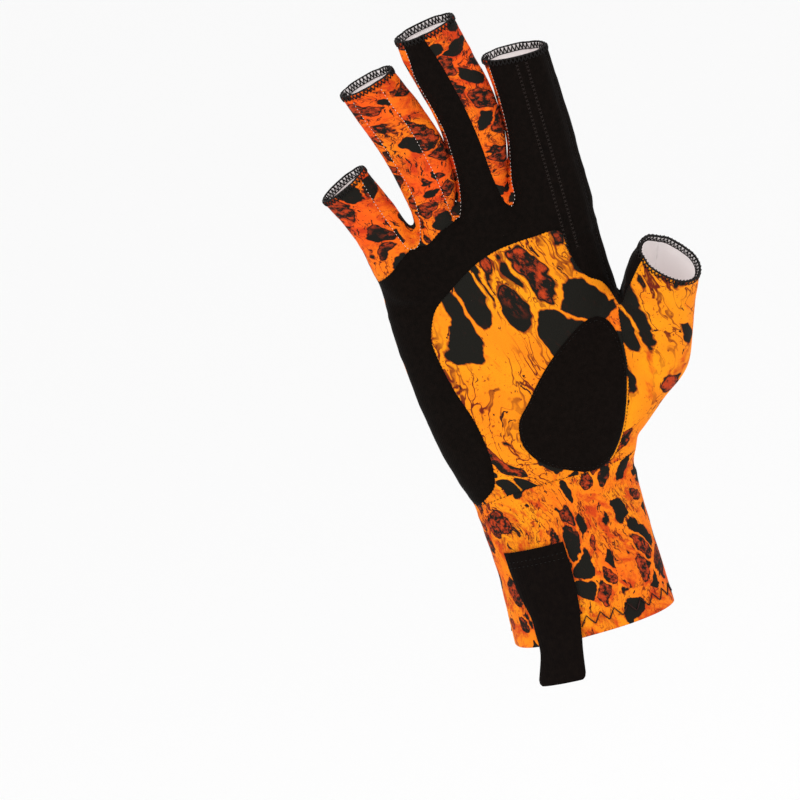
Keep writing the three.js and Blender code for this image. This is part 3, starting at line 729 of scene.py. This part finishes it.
def printed_knit():
    material, tree, shader = new_material("printed polyester knit", "#F5761A", 0.85, specular=0.2)
    add, mix = partial(put, tree), {"out": 2, "data_type": "RGBA"}
    plus, minus, times, fused = (
        {"operation": kind} for kind in ("ADD", "SUBTRACT", "MULTIPLY", "MULTIPLY_ADD"))
    cloth, place, tone = (add("Attribute", out=1, attribute_name=name) for name in ("cloth", "print", "tone"))
    dark, yellow, red = add("SeparateXYZ", tone, out=None).outputs

    # The bent pattern, and its cells: distance to the cell's edge and two numbers drawn for each.
    bent = add("VectorMath", add("TexNoise", place, 0.028, 1.0, out=1), (34, 34, 34), place, **fused)
    bent = add("VectorMath", add("TexNoise", place, 0.19, 2.0, out=1), (5, 5, 5), bent, **fused)
    cells = add("Mapping", bent, LEAN, (0.115, 0.085, 0.072))
    edge = add("TexVoronoi", cells, 1.0, 0.9, feature="DISTANCE_TO_EDGE")
    nearest = add("TexVoronoi", cells, 1.0, 0.9, out=None)
    lot, kind, _ = add("SeparateColor", nearest.outputs["Color"], out=None).outputs
    round_off = add("Math", 0.60, nearest.outputs["Distance"], **minus)
    level = add("Math", edge, round_off, 0.16, operation="SMOOTH_MIN")
    shrink = add("Math", add("Math", lot, dark, **minus), 0.0, operation="MAXIMUM")
    level = add("Math", add("TexNoise", place, 0.5, 4.0, 0.65), 0.08, level, **fused)
    level = add("Math", level, add("Math", shrink, 1.1, 0.085, **fused), **minus)
    cell = add("MapRange", level, 0.0, 0.012)
    outline = add("MapRange", level, -0.022, 0.0)
    core = add("MapRange", level, 0.028, 0.05)

    # The ground: orange to yellow, with red patches, specks and flow lines.
    warm = add("MapRange", add("Math", add("TexNoise", bent, 0.05, 3.0), yellow, **plus), 0.55, 1.25)
    ground = add("Mix", warm, linear("#F4560C"), linear("#FFA408"), **mix)
    heat = add("Math", add("TexNoise", bent, 0.12, 4.0, 0.65), red, **plus)
    ground = add("Mix", add("MapRange", heat, 0.88, 1.02, 0.85), ground, linear("#C62F0B"), **mix)
    patchy = add("MapRange", add("TexNoise", place, 0.06, 2.0), 0.42, 0.6)
    specks = add("Math", patchy, 0.06, add("TexNoise", cloth, 0.75, 4.0, 0.7), **fused)
    ground = add("Mix", add("MapRange", specks, 0.64, 0.70, 0.9), ground, linear("#7C1F08"), **mix)
    stream = add("Mapping", bent, LEAN, (0.62, 0.5, 0.07))
    flow = add("TexNoise", stream, 0.6, 2.0)
    line = add("Math", add("Math", flow, 0.5, **minus), 0.0, operation="ABSOLUTE")
    line = add("Math", add("MapRange", line, 0.034, 0.010), patchy, **times)
    ground = add("Mix", line, ground, linear("#6E1E08"), **mix)
    streak = add("Math", dark, 0.12, add("TexNoise", stream, 1.4, 4.0, 0.6), **fused)
    ground = add("Mix", add("MapRange", streak, 0.68, 0.71), ground, linear("#3A140A"), **mix)

    # The cells: plain charcoal, or dark at the edge and mottled rust inside.
    rusty = add("Math", add("TexNoise", place, 0.09, 1.0), 0.5, add("Math", kind, red, **plus), **fused)
    rusty = add("MapRange", rusty, 1.08, 1.16)
    mottle = add("MapRange", add("TexNoise", place, 0.36, 5.0, 0.72), 0.46, 0.60)
    rust = add("Math", add("Math", rusty, core, **times), mottle, **times)
    soot = add("MapRange", add("TexNoise", place, 0.3, 5.0, 0.7), 0.58, 0.74)
    coal = add("Mix", soot, linear("#12100A"), linear("#2C120A"), **mix)
    ember = add("Mix", rust, coal, linear("#BE3D12"), **mix)
    ground = add("Mix", add("Math", outline, 0.8, **times), ground, linear("#8A2508"), **mix)
    tree.links.new(add("Mix", cell, ground, ember, **mix), shader.inputs["Base Color"])
    knit_bump(tree, shader, cloth, 0.8, 0.25)
    return material


PRINTED = printed_knit()
print("printed knit:", len(PRINTED.node_tree.nodes), "nodes")

# %% [markdown]
# The plain panels are black polyester microfibre with a brushed face: very matt, a touch brown where
# the light grazes it. The inside of the cloth is its undyed face, a light warm grey; thin cloth
# lets some daylight through, and a faint glow of that face stands in for it. The overlock and the
# flat seams are polyester sewing thread, a little glossier than the cloth.

# %% Plain knit, lining and threads
def plain_knit(name, colour, pitch):
    material, tree, shader = new_material(name, colour, 0.9, sheen=0.02, specular=0.08)
    cloth = put(tree, "Attribute", out=1, attribute_name="cloth")
    worn = put(tree, "MapRange", put(tree, "TexNoise", cloth, 0.5, 4.0, 0.6), 0.35, 0.7)
    colour = put(tree, "Mix", worn, linear(colour), linear("#100906"), out=2, data_type="RGBA")
    tree.links.new(colour, shader.inputs["Base Color"])
    knit_bump(tree, shader, cloth, pitch, 0.35)
    return material


BLACK = plain_knit("black microfibre knit", "#080402", 0.7)
PATCH = plain_knit("black brushed microfibre", "#090402", 0.5)
TAPE = plain_knit("black woven tape", "#090403", 1.1)
LINING, _, lining_shader = new_material("undyed inner face with painted glow", "#F3EDEC", 0.9, specular=0.1)
# Painted light: the inner face glows faintly, in place of the daylight that thin cloth lets into the shaded
# inside of the glove.
lining_shader.inputs["Emission Color"].default_value = linear("#E6DFDE")
lining_shader.inputs["Emission Strength"].default_value = 0.125
BLACK_THREAD = new_material("black polyester thread", "#100B09", 0.6, specular=0.25)[0]
BROWN_THREAD = new_material("faded black thread", "#241A16", 0.65, specular=0.25)[0]
PALE_THREAD = new_material("undyed polyester thread", "#EBDDD6", 0.65, specular=0.3)[0]
RUST_THREAD = new_material("dark red thread", "#2A0B07", 0.6, specular=0.25)[0]
print("materials:", len(bpy.data.materials))

# %% [markdown]
# The real print is denser on the cuff, the knuckles and the fingers than on the palm. So each point
# of the cloth gets its tone, and a place in the pattern that climbs faster where cells are small.

# %% Where the print is dark, yellow or red
WHOLE_CUFF, WHOLE_DIGITS = (-60, 70), (176, 400)


def near_the(z, low, high, soft=5.0):
    return 1 / (1 + np.exp((low - z) / soft)) / (1 + np.exp((z - high) / soft))


def tone_at(p):
    """How dark, how yellow and how red the print is at each point of the skin."""
    x, z = p[:, 0], p[:, 2]
    cuff, digits = near_the(z, -20, 68), near_the(z, 174, 300)
    thumb = near_the(0.7 * x + 0.3 * (z - 118), 40, 200)
    knuckles = near_the(z, 136, 164) * (1 - thumb)
    hem = near_the(z, -30, 7, 1.5)
    dark = 0.31 + 0.29 * cuff + 0.46 * digits + 0.02 * thumb + 0.52 * knuckles - 0.48 * hem
    yellow = 0.55 - 0.17 * cuff - 0.36 * digits - 0.07 * thumb
    red = 0.26 + 0.16 * cuff + 0.14 * digits + 0.06 * thumb
    return np.stack([dark, yellow, red], 1)


HEIGHTS = np.linspace(-30, 290, 321)
CLIMB = np.cumsum(0.46 + 0.64 * near_the(HEIGHTS, *WHOLE_CUFF) + 1.00 * near_the(HEIGHTS, *WHOLE_DIGITS))


def print_at(p):
    """Place in the pattern: cells are small on the cuff and big on the palm."""
    x, y, z = p.T
    tight = 0.56 + 0.74 * near_the(z, *WHOLE_CUFF) + 0.14 * near_the(z, *WHOLE_DIGITS)
    return np.stack([x * tight, y * tight, np.interp(z, HEIGHTS, CLIMB) + 0.3 * x], 1)


print("the pattern climbs by", round(float(CLIMB[-1])), "over the glove")

# %% [markdown]
# A cut panel is only a face of the cloth. It gets its wall here: the same triangles once more, set
# in by the thickness along the skin's own smooth normals, and a strip of faces round every free
# edge. Solidify would do this too, but its normals wander at the narrow triangles along a cut.

# %% From cut skin to cloth
def paint(mesh, name, values):
    """Writes one vector for each point of a mesh."""
    layer = mesh.attributes.new(name, "FLOAT_VECTOR", "POINT")
    layer.data.foreach_set("vector", np.array(values, np.float32).ravel())


def near_an_opening(place):
    return np.any([(np.abs((place - t["centre"]) @ t["out"]) < 0.05) & (off_the_tube(place, t) < 0)
                   for t in TIPS.values()], 0)


def cloth_piece(name, tris, materials, thickness=CLOTH, shift=(0, 0, 0)):
    used, tris = np.unique(tris, return_inverse=True)
    tris = tris.reshape(-1, 3)
    outer, count = spots[used], len(used)
    inner = outer - outward[used] * thickness
    edges = np.vstack([tris[:, [0, 1]], tris[:, [1, 2]], tris[:, [2, 0]]])
    keys = edges.min(1).astype(np.int64) * count + edges.max(1)
    _, first, times = np.unique(keys, return_index=True, return_counts=True)
    rims = edges[first[times == 1]]
    rims = rims[rims[:, 0] != rims[:, 1]]
    faces = tris.tolist() + (tris[:, ::-1] + count).tolist()
    faces += [(b, a, a + count, b + count) for a, b in rims.tolist()]
    mesh = new_mesh(name, np.vstack([outer, inner]), faces)
    # Slot 0 is the outer face and its edges, 1 the inner face, 2 the overlocked edges.
    kinds = np.zeros(len(faces), int)
    kinds[len(tris):2 * len(tris)] = 1
    kinds[2 * len(tris):] = np.where(near_an_opening(outer)[rims].all(1), 2, 0)
    for material in materials + [BLACK_THREAD]:
        mesh.materials.append(material)
    mesh.polygons.foreach_set("material_index", kinds)
    for key, values in (("cloth", outer), ("print", print_at(outer) + shift), ("tone", tone_at(outer))):
        paint(mesh, key, np.vstack([values, values]))
    mesh.validate()
    piece = placed(name + "_cloth", mesh)
    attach(piece, "root")
    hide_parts(name)


# Each printed piece is cut from another place of the printed cloth.
PRINT_SHIFT = {
    "back_panel": (0, 40, 7), "palm_insert": (33, 33, 12), "cuff_front": (4, 90, -8),
    "ring_front": (60, 10, 33), "pinky_front": (20, 77, 5), "pinky_ring_side": (9, 55, 66),
    "ring_middle_side": (44, 21, 9), "middle_index_side": (83, 5, 48),
}
for name, tris in panels.items():
    if name in PRINT_SHIFT:
        cloth_piece(name, tris, [PRINTED, LINING], shift=PRINT_SHIFT[name])
    else:
        cloth_piece(name, tris, [BLACK, LINING])
print("panels:", len(panels))

# %% [markdown]
# The drop-shaped patch at the root of the thumb is a second layer sewn on top, for the grip on the
# rod and the reel. It is cut from the same skin and lifted off it, and its edge is turned down.

# %% Patch at the root of the thumb
EDGE = 3.5  # width of the turned edge
LOW, PUFF = 0.35, 0.95  # how high its edge and its middle stand
patch_line = walk(in_mm(PATCH_OUTLINE), 1.5, closed=True)[:-1]
patch_tris, _ = cut(np.vstack([panels["palm_insert"], panels["back_panel"]]), on_the_palm(patch_line))
rise = -np.clip(inside(patch_line, spots[:, 0], spots[:, 2]), -EDGE, 0) / EDGE
saved = spots.copy()
spots = spots + outward * (LOW + PUFF * np.sqrt(rise))[:, None]
cloth_piece("thenar_patch", patch_tris, [PATCH, PATCH], thickness=0.6)
spots = saved
print("patch:", len(patch_tris), "triangles")

# %% [markdown]
# The pull tab is a doubled strip of woven tape, sewn flat to the cuff and left to hang over the hem,
# so that fingers can grip it. It is a grid of points that follows the cuff and then hangs straight.

# %% Pull tab
# Height, left and right edge, in thousandths of LENGTH and BREADTH.
TAB = [
    (-63, -305, -111), (-59, -311, -104), (-20, -276, -87), (0, -266, -76), (20, -266, -66),
    (50, -266, -50), (85, -287, -41), (120, -298, -38), (157, -303, -41),
]


def cuff_front(x, z):
    """Depth of the cuff's palm side at a place."""
    return tree.ray_cast(Vector((x, -FAR, max(z, 1.0))), Vector((0, 1, 0)))[0].y


ACROSS = 17  # points across the tape
DEEP, SINK = 1.3, 0.45  # thickness of the doubled tape, and how far it is pressed into the cuff
ROUND = 0.32  # rounding of its edges

tree = tree_of(spots)
rows = rounded(np.array(TAB) / 1e3 * [LENGTH, BREADTH, BREADTH], 5)
front, back = [], []
for i, (z, l, r) in enumerate(rows):
    corner = 1.3 * max(0, 1 - (z - rows[:, 0].min()) / 2.2) ** 2
    l, r = l + corner, r - corner
    to_end = min(i, len(rows) - 1 - i)
    for t in np.arange(ACROSS) / (ACROSS - 1):
        x = l + (r - l) * t
        edge = ROUND * (1 - min(1, min(t, 1 - t) * 9)) ** 2 + ROUND * (1 - min(1, to_end / 1.5)) ** 2
        sway = 0.25 * math.sin(z / 7.0 + x / 9) - 0.02 * max(0, -z) ** 1.3
        y = cuff_front(x, z) - SINK + sway * (1 if z < 6 else 0.4)
        front.append((x, y - DEEP + edge, z))
        back.append((x, y - edge * 0.4, z))
points, count = np.array(front + back), len(front)
grid = np.arange(count).reshape(len(rows), ACROSS)
quads = np.stack([grid[:-1, :-1], grid[:-1, 1:], grid[1:, 1:], grid[1:, :-1]], -1).reshape(-1, 4)
faces = []
for a, b, c, d in quads.tolist():
    faces += [(a, b, c, d), (a + count, d + count, c + count, b + count)]
ring = [*grid[0], *grid[1:, -1], *grid[-1, -2::-1], *grid[-2:0:-1, 0]]
faces += [(b, a, a + count, b + count) for a, b in zip(ring, ring[1:] + ring[:1])]
mesh = new_mesh("pull_tab_tape", points, faces)
mesh.materials.append(TAPE)
paint(mesh, "cloth", points)
tab = placed("pull_tab_tape", mesh)
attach(tab, "root")
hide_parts("pull_tab")
print("tab:", len(faces), "faces")

# %% [markdown]
# Stitches repeat along a path, which is work for Geometry Nodes. One tree serves every seam: it
# turns the path to a curve, sets points a pitch apart, and puts a copy of a small stitch on each,
# turned so that its X runs along the seam and its Z out of the cloth.

# %% Tree that lays stitches along a path
def stitch_tree():
    tree = bpy.data.node_groups.new("stitches along a path", "GeometryNodeTree")
    face = tree.interface
    face.new_socket("Path", in_out="INPUT", socket_type="NodeSocketGeometry")
    for name, kind, value in [("Stitch", "Object", None), ("Pitch", "Float", 0.0017), ("Size", "Float", 1.0),
                              ("Wobble", "Float", 0.05), ("Seed", "Int", 3), ("Thread", "Material", None)]:
        socket = face.new_socket(name, in_out="INPUT", socket_type="NodeSocket" + kind)
        if value is not None:
            socket.default_value = value
    face.new_socket("Stitches", in_out="OUTPUT", socket_type="NodeSocketGeometry")
    into = put(tree, "NodeGroupInput", out=None).outputs
    curve = put(tree, "GeometryNodeMeshToCurve", into["Path"])
    points = put(tree, "GeometryNodeResampleCurve", mode="LENGTH",
                 feeds={"Curve": curve, "Length": into["Pitch"]})
    outward = put(tree, "GeometryNodeInputNamedAttribute", "out", data_type="FLOAT_VECTOR")
    along = put(tree, "GeometryNodeInputTangent")
    turn = put(tree, "FunctionNodeAxesToRotation", outward, along, primary_axis="Z", secondary_axis="X")
    drawn = put(tree, "FunctionNodeRandomValue", feeds={"Seed": into["Seed"]}, data_type="FLOAT")
    wobble = put(tree, "ShaderNodeMath", drawn, 0.5, operation="SUBTRACT")
    wobble = put(tree, "ShaderNodeMath", wobble, into["Wobble"], operation="MULTIPLY")
    spin = put(tree, "ShaderNodeCombineXYZ", feeds={"Z": wobble})
    turn = put(tree, "FunctionNodeRotateRotation", turn, spin, rotation_space="LOCAL")
    shape = put(tree, "GeometryNodeObjectInfo", into["Stitch"], out="Geometry")
    copies = put(tree, "GeometryNodeInstanceOnPoints", feeds={
        "Points": points, "Instance": shape, "Rotation": turn, "Scale": into["Size"]})
    real = put(tree, "GeometryNodeRealizeInstances", copies)
    dyed = put(tree, "GeometryNodeSetMaterial", feeds={"Geometry": real, "Material": into["Thread"]})
    put(tree, "NodeGroupOutput", dyed, out=None)
    return tree


STITCHES = stitch_tree()
print("stitch tree:", [s.name for s in STITCHES.interface.items_tree])

# %% [markdown]
# Each kind of stitch is modelled once, from short bent pieces of thread: a tube with four or six
# sides round a line of points. The overlock is a crossed pair that starts on the outer face, goes over
# the raw edge and ends inside.

# %% Shapes of the stitches
def thread_mesh(name, *threads, sides=6):
    """Tubes round lines of points (mm); each thread is a line and a radius."""
    points, faces = [], []
    for line, radius in threads:
        line = [Vector(p) / 1000 for p in line]
        start = len(points)
        for i, p in enumerate(line):
            ahead = (line[min(i + 1, len(line) - 1)] - line[max(i - 1, 0)]).normalized()
            side = ahead.cross(Vector((0.12, 0.3, 1))).normalized()
            up = side.cross(ahead)
            for k in range(sides):
                a = 2 * math.pi * k / sides
                points.append(p + (side * math.cos(a) + up * math.sin(a)) * radius / 1000)
        for i in range(len(line) - 1):
            for k in range(sides):
                a, b = start + i * sides + k, start + i * sides + (k + 1) % sides
                faces.append((a, a + sides, b + sides, b))
        last = start + (len(line) - 1) * sides
        faces.append(tuple(range(start, start + sides)))
        faces.append(tuple(range(last + sides - 1, last - 1, -1)))
    mesh = bpy.data.meshes.new(name)
    mesh.from_pydata(points, [], faces)
    mesh.polygons.foreach_set("use_smooth", np.ones(len(faces), bool))
    return bpy.data.objects.new(name, mesh)


def over_the_edge(lean):
    return [(-lean, -1.9, 0.22), (-lean * 0.4, -0.9, 0.36), (0, 0.0, 0.24), (0, 0.30, -0.45),
            (0, 0.0, -1.14), (lean * 0.4, -1.2, -1.28), (lean, -2.6, -1.14)]


OVERLOCK = thread_mesh("overlock stitch", (over_the_edge(0.8), 0.25), (over_the_edge(-0.8), 0.25),
                       ([(-0.95, 0.02, -0.45), (0.95, 0.02, -0.45)], 0.52),
                       ([(-0.8, -2.6, -1.14), (0.8, -2.6, -1.14)], 0.22), sides=4)
DASH = thread_mesh("short stitch", (
    [(-0.55, 0, -0.05), (-0.25, 0, 0.12), (0.25, 0, 0.12), (0.55, 0, -0.05)], 0.2))
CROSS = thread_mesh("cover stitch", ([(-0.6, -0.7, 0.0), (0, 0, 0.2), (0.6, 0.7, 0.0)], 0.16),
                    ([(-0.6, 0.7, 0.0), (0, 0, 0.24), (0.6, -0.7, 0.0)], 0.16))
ZIGZAG = thread_mesh("zigzag stitch", (
    [(-2.85, -2.0, 0.2), (-1.4, 0.1, 0.45), (0, 2.0, 0.2), (1.4, -0.1, 0.45), (2.85, -2.0, 0.2)], 0.28))
print("points of each stitch:", [len(s.data.vertices) for s in (OVERLOCK, DASH, CROSS, ZIGZAG)])

# %% [markdown]
# To sew a row, its path becomes a mesh of edges that also carries the cloth's normals, the tree runs
# on it once, and the result is kept as a plain mesh.

# %% Sewing a row
def sew(name, path, stitch, pitch, thread, size=1.0, wobble=0.05, closed=False):
    """Stitches along a path of (point, normal) pairs, as one plain mesh."""
    count = len(path)
    edges = [(i, (i + 1) % count) for i in range(count if closed else count - 1)]
    mesh = new_mesh(name, [p for p, _ in path], [], edges)
    paint(mesh, "out", [n for _, n in path])
    host = placed(name + "_path", mesh)
    bpy.context.collection.objects.link(stitch)
    layer = host.modifiers.new("stitches", "NODES")
    layer.node_group = STITCHES
    values = {"Stitch": stitch, "Pitch": pitch / 1000, "Size": size, "Wobble": wobble, "Seed": 3,
              "Thread": thread}
    for item in STITCHES.interface.items_tree:
        if item.in_out == "INPUT" and item.name in values:
            layer[item.identifier] = values[item.name]
    plain = applied(host)
    plain.name = name
    bpy.data.objects.remove(host)
    bpy.context.collection.objects.unlink(stitch)
    row = placed(name, plain)
    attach(row, "root")
    return row


print("threads:", [m.name for m in (BLACK_THREAD, BROWN_THREAD, PALE_THREAD, RUST_THREAD)])

# %% [markdown]
# The five openings are overlocked: the raw edge is trimmed and wrapped with thread in one pass. The
# path is the cut edge itself, found among the points that lie in the plane of the opening.

# %% Overlocked rims
def rim_path(tip):
    flat = np.abs((spots - tip["centre"]) @ tip["out"]) < 0.02
    ring = spots[flat & (off_the_tube(spots, tip) < 0)]
    away = ring - tip["centre"]
    turn = np.arctan2(away @ np.cross(tip["out"], tip["width"]), away @ tip["width"])
    ring = ring[np.argsort(turn)]
    even = walk(np.vstack([ring, ring[:1]])[::3], 0.6)
    path = []
    for i, p in enumerate(even):
        ahead = even[(i + 1) % len(even)] - even[i - 1]
        normal = np.cross(ahead, tip["out"])
        path.append((p, normal / np.linalg.norm(normal)))
    return path


for name, tip in TIPS.items():
    rim = sew(f"rim_{name}_thread", rim_path(tip), OVERLOCK, 1.7, BLACK_THREAD, wobble=0.12, closed=True)
    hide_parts(f"rim_{name}")
    print(rim.name, len(rim.data.polygons), "faces")

# %% [markdown]
# The flat seams show as rows of tiny stitches. On the back of the hand they are pale, because the
# undyed cloth peeps through; on the palm side they are dark. The first finger carries a wide cover
# stitch down its middle, and the hem a single zigzag of dark red thread.

# %% Seam stitches
JUMP = 2.5  # a path that jumps further than this left the cloth, so its row ends there
UNDER_RIM = 3.0  # rows end this far below an opening
tree = tree_of(spots)


def below_the_rims(p):
    """Whether a place is out of reach of every overlocked rim."""
    return all((p - t["centre"]) @ t["out"] < -UNDER_RIM or off_the_tube(p[None], t, 4.0)[0] > 0
               for t in TIPS.values())


rows_to_sew = []
for name, (line, side) in SEAMS.items():
    if name == "middle index":
        line = line[line[:, 0] > 12]
    pale = side > 0 or name in ("pinky ring", "ring middle", "middle index")
    thread, size = (PALE_THREAD, 0.5) if pale else (BLACK_THREAD, 0.6)
    rows_to_sew.append((name, line, side, DASH, 1.5, thread, size))
for x in (31.0, 35.0):
    line = np.array([(x, 156), (x + 0.3, 195), (x + 0.2, 240)])
    rows_to_sew.append((f"cover {x:.0f}", line, -1, CROSS, 1.7, BROWN_THREAD, 0.8))
for name, line, side, stitch, pitch, thread, size in rows_to_sew:
    runs, run = [], []
    for p, n in on_skin(tree, line, side, 0.8):
        if run and np.linalg.norm(p - run[-1][0]) > JUMP:
            runs.append(run)
            run = []
        if below_the_rims(p):
            run.append((p, n))
    for k, run in enumerate(runs + [run]):
        if len(run) > 4:
            sew(f"stitches_{name.replace(' ', '_')}_{k}", run, stitch, pitch, thread, size, wobble=0.3)

# %% [markdown]
# The patch is sewn down just inside its edge, the tab with two rows near its top, and the hem with
# its zigzag, from beside the tab round to the back.

# %% Patch, tab and hem stitches
PATCH_TOP, INSET = 1.1, 0.955  # height of the patch's face, and size of the row beside its outline
HEM_UP = 6.5  # height of the hem's zigzag

outline = walk(in_mm(PATCH_OUTLINE), 1.0, closed=True)[:-1]
outline = outline.mean(0) + (outline - outline.mean(0)) * INSET
path = [(p + n * PATCH_TOP, n) for p, n in on_skin(tree, outline, -1, 0.8)]
sew("stitches_patch", path, DASH, 1.9, BLACK_THREAD, 0.6, wobble=0.2)
for z in (37.0, 34.6):
    path = [(np.array([x, cuff_front(x, z) - SINK - DEEP, z]), np.array([0, -1.0, 0]))
            for x in np.linspace(-27.0, -5.6, 12)]
    sew(f"stitches_tab_{z:.0f}", path, DASH, 1.9, BLACK_THREAD, 0.7, wobble=0.2)
to_the_thumb_side = [(x, -1) for x in np.linspace(-3.0, 32.5, 40)]
round_the_back = [(x, 1) for x in np.linspace(32.5, -32.5, 70)]
path = []
for x, side in to_the_thumb_side + round_the_back:
    hit, normal, _, _ = tree.ray_cast(Vector((x, side * FAR, HEM_UP)), Vector((0, -side, 0)))
    if hit is not None:
        path.append((np.array(hit), np.array(normal)))
sew("stitches_hem", path, ZIGZAG, 5.7, RUST_THREAD, 1.0, wobble=0.3)
print("hem path:", len(path), "points")

# %% [markdown]
# The set is nearly white: a pale floor well below, a bright dome and two large soft lights. The
# camera is far away with a long lens, so that near and far fingers keep their true sizes. It stands
# 13 degrees above the glove and is rolled, so that the glove leans to the left as in the photo.

# %% Set, lights and camera
RISE, ROLL = math.radians(13), math.radians(-16)
AWAY, AIM = 6, Vector((-0.052, 0, 0.1124))  # metres
FLOOR = -0.30

scene = bpy.context.scene
scene.view_settings.view_transform = "Standard"
bpy.ops.mesh.primitive_plane_add(size=16, location=(0, 0, FLOOR))
floor = bpy.context.object
floor.name = "floor"
floor.data.materials.append(new_material("pale floor", "#FCFCFC", 0.9)[0])
floor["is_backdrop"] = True

world = bpy.data.worlds.new("white dome")
world.use_nodes = True
dome = world.node_tree.nodes["Background"].inputs
dome["Color"].default_value, dome["Strength"].default_value = (1, 1, 1, 1), 0.97
scene.world = world
for name, place, size, power in [("key", (-0.7, -1.1, 1.0), 0.7, 5), ("fill", (1.0, -0.9, 0.3), 0.9, 1.5)]:
    lamp = bpy.data.lights.new(name, "AREA")
    lamp.size, lamp.energy = size, power
    light = placed(name, lamp)
    light.location = place
    light.rotation_euler = (Vector((0, 0, 0.12)) - Vector(place)).to_track_quat("-Z", "Y").to_euler()

lens = bpy.data.cameras.new("camera")
lens.lens, lens.sensor_width = 659, 36
camera = placed("camera", lens)
camera.location = AIM + AWAY * Vector((0, -math.cos(RISE), math.sin(RISE)))
look = (AIM - camera.location).to_track_quat("-Z", "Y") @ Quaternion((0, 0, 1), ROLL)
camera.rotation_euler = look.to_euler()
scene.camera = camera
print("camera at", [round(v, 3) for v in camera.location])

# %% [markdown]
# Last the box of the dressed glove is measured again and kept beside that of the solids. The two
# should differ by little more than the thickness of a thread.

# %% Size and finish
size = {"cad": [list(map(float, c)) for c in cad_box], "visual": [list(map(float, c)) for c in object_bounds()]}
print("dressed box", size["visual"])
